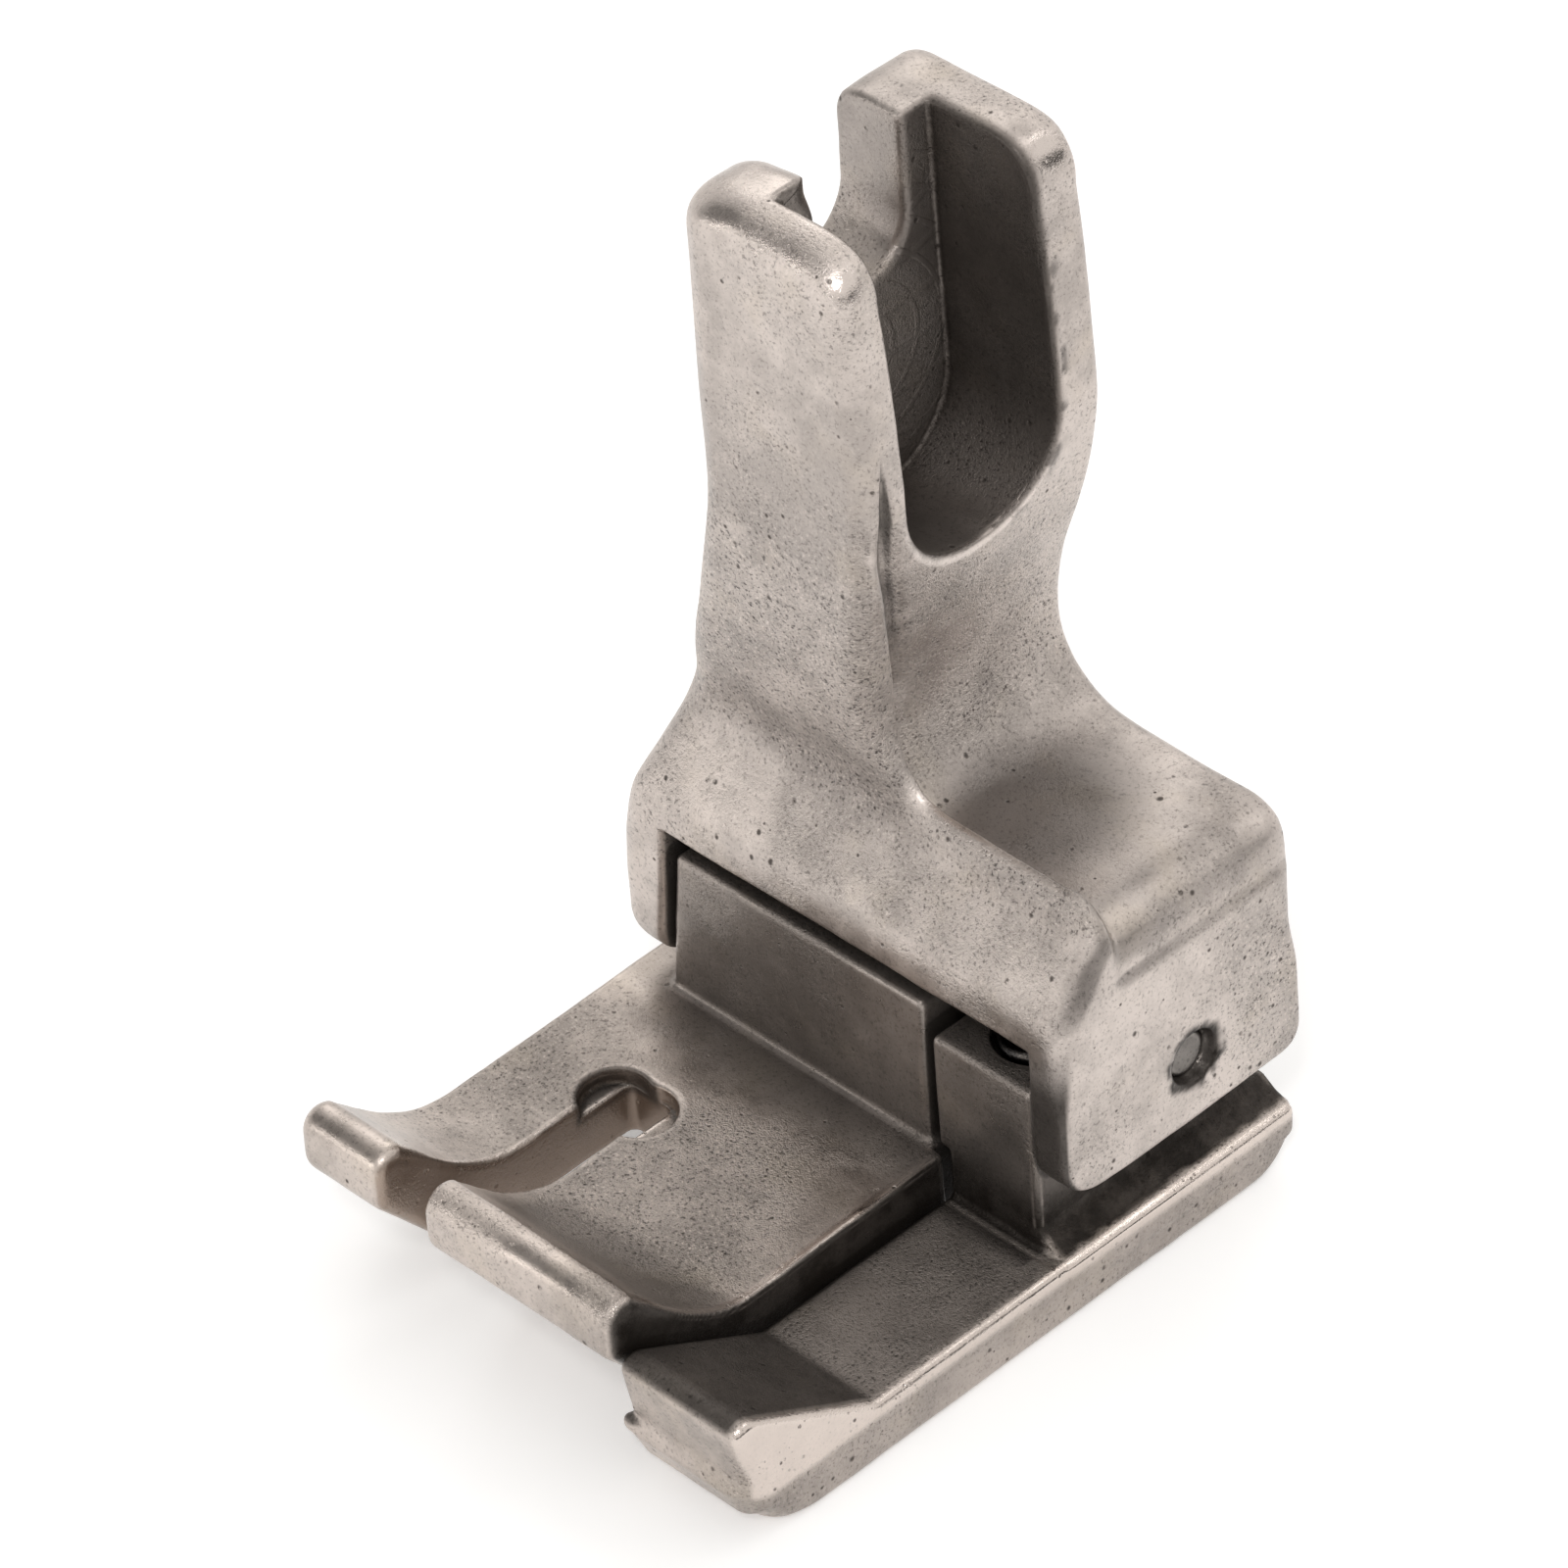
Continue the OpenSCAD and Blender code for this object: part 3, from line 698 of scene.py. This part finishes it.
def steel(name, light, dark, rough, pitted=1.0, milled=False):
    """Worn cast steel: mottled and finely pitted, polished on edges, with painted shade in nooks and the
    vertices' oil, painted shade and painted highlights.
    """
    material = bpy.data.materials.new(name)
    g = Graph(material)
    edge, nook, hollow, soot_and_shade, rust, coarse_skin, polish_and_highlight = (g.painted(key) for key in PAINTS)
    broad = g.noise(0.13, 2.0)
    mottle = g.noise(0.8, 5.0, 0.65)
    grain = g.noise(7.0, 3.0, 0.75)
    fine = g.noise(16.0, 2.0, 0.6)
    rough_patch = g.math("MULTIPLY", g.step(g.noise(0.22, 2.0), 0.42, 0.62), 0.4)
    rough_patch = g.math("MULTIPLY_ADD", coarse_skin, 0.75, rough_patch, clamp=True)
    spots = g.math("MULTIPLY", g.pits(4.2, 0.6), rough_patch)
    spots = g.math("MAXIMUM", spots, g.math("MULTIPLY", g.pits(2.4, 0.22), g.step(mottle, 0.45, 0.55)))
    spots = g.math("MULTIPLY", spots, pitted, clamp=True)

    tone = g.math("ADD", g.math("MULTIPLY", broad, 0.55), g.math("MULTIPLY", mottle, 0.45))
    colour = g.mix(g.step(tone, 0.38, 0.62), dark, light)
    colour = g.mix(g.math("MULTIPLY", g.step(g.noise(0.35, 3.0), 0.5, 0.75), 0.3), colour, (0.58, 0.50, 0.41))
    grit = g.math("MULTIPLY", g.step(grain, 0.46, 0.34), g.math("MULTIPLY_ADD", rough_patch, 0.75, 0.45))
    colour = g.mix(grit, colour, tuple(c * 0.33 for c in dark))
    glitter = g.math("MULTIPLY", g.step(grain, 0.56, 0.68), g.math("MULTIPLY_ADD", rough_patch, 0.7, 0.15))
    colour = g.mix(glitter, colour, tuple(min(1.0, c * 1.35) for c in light))
    # Edge wear and polish, with the painted highlights, make the colour lighter
    wear_and_highlight = g.step(g.math("ADD", edge, g.math("MULTIPLY", mottle, 0.3)), 0.4, 0.85)
    wear_and_highlight = g.math("MAXIMUM", wear_and_highlight, polish_and_highlight)
    colour = g.mix(g.math("MULTIPLY", wear_and_highlight, 0.75), colour, tuple(min(1.0, c * 1.2) for c in light))
    colour = g.mix(g.math("MULTIPLY", spots, 0.8), colour, (0.05, 0.042, 0.036))
    # Painted shade in nooks and hollows
    painted_corner_shade = g.math("ADD", nook, g.math("MULTIPLY", g.math("SUBTRACT", mottle, 0.5), 0.5))
    painted_corner_shade = g.math("MAXIMUM", g.math("MULTIPLY", g.step(painted_corner_shade, 0.25, 0.75), 0.85),
                  g.math("MULTIPLY", g.step(hollow, 0.35, 1.0), 0.3))
    colour = g.mix(painted_corner_shade, colour, (0.045, 0.038, 0.032))
    brown = g.math("MULTIPLY", rust, g.math("MULTIPLY_ADD", grain, 0.5, 0.5))
    colour = g.mix(brown, colour, (0.30, 0.225, 0.175))
    rubbed = g.math("MULTIPLY_ADD", g.step(g.math("MULTIPLY_ADD", mottle, 0.5, edge), 0.6, 1.0), -0.6, 1.0)
    # Old oil and painted shade from the vertices darken the colour, less on rubbed edges
    oil_and_shade = g.math("MULTIPLY", g.math("MULTIPLY", soot_and_shade, rubbed),
                 g.math("MULTIPLY_ADD", g.step(mottle, 0.35, 0.65), 0.1, 0.9), clamp=True)
    colour = g.mix(oil_and_shade, colour, (0.022, 0.018, 0.015))
    g.feed(g.shader.inputs["Specular IOR Level"], g.math("MULTIPLY_ADD", oil_and_shade, -0.3, 0.45))
    g.feed(g.shader.inputs["Base Color"], colour)
    metal = g.math("SUBTRACT", 1.0, g.math("MULTIPLY", g.math("MAXIMUM", oil_and_shade, painted_corner_shade), 0.55))
    metal = g.math("MULTIPLY_ADD", coarse_skin, -0.25, metal, clamp=True)
    g.feed(g.shader.inputs["Metallic"], metal)

    coarse = g.math("MULTIPLY_ADD", g.math("SUBTRACT", mottle, 0.5), 0.3, rough)
    coarse = g.math("MULTIPLY_ADD", wear_and_highlight, -0.1, coarse)
    coarse = g.math("MULTIPLY_ADD", spots, 0.3, coarse)
    coarse = g.math("MULTIPLY_ADD", polish_and_highlight, -0.12, coarse)
    g.feed(g.shader.inputs["Roughness"], g.math("MULTIPLY_ADD", rough_patch, 0.05, coarse, clamp=True))

    skin = g.math("MULTIPLY_ADD", rough_patch, 1.9, 0.28)
    height = g.math("MULTIPLY", g.math("MULTIPLY_ADD", fine, 0.5, grain), skin)
    height = g.math("MULTIPLY", height, g.math("MULTIPLY_ADD", g.math("MAXIMUM", wear_and_highlight, polish_and_highlight), -0.75, 1.0))
    height = g.math("MULTIPLY_ADD", spots, -0.9, height)
    if milled:
        height = g.math("ADD", height, g.math("MULTIPLY", mill_arcs(g), g.math("MULTIPLY", soot_and_shade, 0.55)))
    bump = g.nodes.new("ShaderNodeBump")
    bump.inputs["Strength"].default_value = 0.9
    bump.inputs["Distance"].default_value = 0.05 * MM
    g.feed(bump.inputs["Height"], height)
    g.feed(g.shader.inputs["Normal"], bump.outputs["Normal"])
    return material


YOKE_STEEL = steel("yoke_steel", (0.61, 0.545, 0.505), (0.40, 0.357, 0.33), 0.34, milled=True)
TOE_STEEL = steel("toe_steel", (0.59, 0.52, 0.475), (0.37, 0.327, 0.297), 0.32)
PIN_STEEL = steel("pin_steel", (0.23, 0.212, 0.197), (0.08, 0.073, 0.067), 0.38, pitted=0.6)
SPRING_STEEL = steel("spring_steel", (0.10, 0.10, 0.105), (0.04, 0.04, 0.042), 0.3, pitted=0.2)

# ---------------------------------------------------------------- pieces

yoke = build("cast_yoke", yoke_field, (-8.75, -0.3, 1.0), (12.9, 11.3, 35.6), "foot", YOKE_STEEL,
             relief=yoke_relief, neighbours=(left_toe_field, right_toe_field), stains_and_light=yoke_stains_and_light)
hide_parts("yoke")

left_toe = build("broad_left_toe", left_toe_field, (-8.8, -15.6, -2.9), (6.75, 11.1, 7.2), "left_toe",
                 TOE_STEEL, relief=toe_relief, neighbours=(yoke_field, right_toe_field),
                 stains_and_light=left_toe_stains_and_light)
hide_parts("left_toe")

right_toe = build("guide_right_toe", right_toe_field, (6.4, -15.6, -4.2), (12.5, 11.1, 7.2), "right_toe",
                  TOE_STEEL, relief=toe_relief, neighbours=(yoke_field, left_toe_field),
                  stains_and_light=right_toe_stains_and_light)
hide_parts("right_toe")

pin = build("cross_pin", pin_field, (-8.35, 5.0, 3.0), (12.55, 6.8, 4.8), "foot", PIN_STEEL, step=0.1)
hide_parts("hinge_pin")

# Each spring is a coil from its toe's seat up to the yoke
for side, spring_x, seat_z, keep_length in (("left", LEFT_SPRING_X, LEFT_SEAT_Z, 0.91),
                                            ("right", RIGHT_SPRING_X, RIGHT_SEAT_Z, 0.76)):
    spring = coil(f"{side}_coil_spring", spring_x, seat_z, SPRING_TURNS, SPRING_STEEL)
    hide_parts(f"{side}_spring")
    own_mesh(spring)

# ---------------------------------------------------------------- floor, light and camera

def plain(name, colour, glow):
    """An even matte colour that glows a little."""
    material = bpy.data.materials.new(name)
    material.use_nodes = True
    shader = material.node_tree.nodes["Principled BSDF"]
    shader.inputs["Base Color"].default_value = (*colour, 1.0)
    shader.inputs["Roughness"].default_value = 0.9
    shader.inputs["Emission Color"].default_value = (*colour, 1.0)
    shader.inputs["Emission Strength"].default_value = glow
    return material


def make_floor():
    """A white sheet, three metres square, just under the right toe's sole."""
    half = 1.5
    z = to_row([0, 0, RIGHT_SOLE_Z - 0.05])[2]
    mesh = bpy.data.meshes.new("floor")
    corners = [(-half, -half, z), (half, -half, z), (half, half, z), (-half, half, z)]
    mesh.from_pydata(corners, [], [(0, 1, 2, 3)])
    mesh.materials.append(plain("floor_white", (0.9, 0.9, 0.9), glow=0.32))
    floor = bpy.data.objects.new("floor", mesh)
    bpy.context.collection.objects.link(floor)


def area_light(name, place, size, watts, colour=(1, 1, 1)):
    """A soft box, in metres from the middle of the shank, turned to face it."""
    light = bpy.data.lights.new(name, "AREA")
    light.shape = "RECTANGLE"
    light.size, light.size_y = size
    light.energy = watts
    light.color = colour
    lamp = bpy.data.objects.new(name, light)
    target = Vector(to_row([1.5, 0.0, 14.0]))
    lamp.location = Vector(place) + target
    lamp.rotation_euler = (target - lamp.location).to_track_quat("-Z", "Y").to_euler()
    bpy.context.collection.objects.link(lamp)


def make_camera():
    """Looks down at the foot from its front right corner."""
    azimuth, elevation, roll = (math.radians(a) for a in (48.2, 39.0, 4.5))
    flat_right = np.array([math.cos(azimuth), math.sin(azimuth), 0])
    back = np.array([math.sin(azimuth) * math.cos(elevation), -math.cos(azimuth) * math.cos(elevation),
                     math.sin(elevation)])
    level_up = np.cross(back, flat_right)
    right = math.cos(roll) * flat_right - math.sin(roll) * level_up
    up = math.sin(roll) * flat_right + math.cos(roll) * level_up
    place = to_row(np.array([6.0, 0.0, 0.0]) - 4.967 * right + 12.2 * up + 300.0 * back)
    data = bpy.data.cameras.new("camera")
    data.sensor_width = 36
    data.lens = 202.5
    data.clip_start = 0.01
    camera = bpy.data.objects.new("camera", data)
    camera.matrix_world = Matrix([[right[i], up[i], back[i], place[i]] for i in range(3)] + [[0, 0, 0, 1]])
    bpy.context.collection.objects.link(camera)
    bpy.context.scene.camera = camera


def make_world():
    """A light tent with dark flags: direction, cosines of the outer and inner edge, shade."""
    flags = [((-0.58, -0.48, 0.66), 0.80, 0.97, 0.28), ((0.853, 0.52, 0.04), 0.945, 0.985, 0.05),
             ((0.95, -0.05, 0.06), 0.93, 0.975, 0.15), ((0.73, -0.6, 0.03), 0.95, 0.985, 0.25)]
    world = bpy.data.worlds.new("studio")
    world.use_nodes = True
    nodes, links = world.node_tree.nodes, world.node_tree.links
    way = nodes.new("ShaderNodeTexCoord").outputs["Generated"]
    light = None
    for direction, outer, inner, shade in flags:
        toward = nodes.new("ShaderNodeVectorMath")
        toward.operation = "DOT_PRODUCT"
        toward.inputs[1].default_value = Vector(direction).normalized()
        links.new(way, toward.inputs[0])
        flag = nodes.new("ShaderNodeMapRange")
        flag.interpolation_type = "SMOOTHSTEP"
        links.new(toward.outputs["Value"], flag.inputs["Value"])
        for key, value in (("From Min", outer), ("From Max", inner), ("To Min", 1.0), ("To Max", shade)):
            flag.inputs[key].default_value = value
        if light:
            both = nodes.new("ShaderNodeMath")
            both.operation = "MULTIPLY"
            links.new(light, both.inputs[0])
            links.new(flag.outputs["Result"], both.inputs[1])
            light = both.outputs[0]
        else:
            light = flag.outputs["Result"]
    nodes["Background"].inputs["Color"].default_value = (0.92, 0.905, 0.885, 1)
    links.new(light, nodes["Background"].inputs["Strength"])
    bpy.context.scene.world = world


make_floor()
make_camera()
make_world()
area_light("camera_spot", (0.36, -0.40, 0.62), (0.08, 0.08), 0.9)
area_light("front_left_strip", (-0.33, -0.66, 0.20), (0.4, 0.06), 0.45, (1.0, 0.985, 0.96))
area_light("back_right_box", (0.20, 0.40, 0.62), (0.25, 0.16), 0.27, (1.0, 0.99, 0.975))
area_light("back_left_box", (-0.45, 0.40, 0.50), (0.3, 0.3), 0.36, (1.0, 0.985, 0.96))
bpy.context.scene.view_settings.view_transform = "Standard"
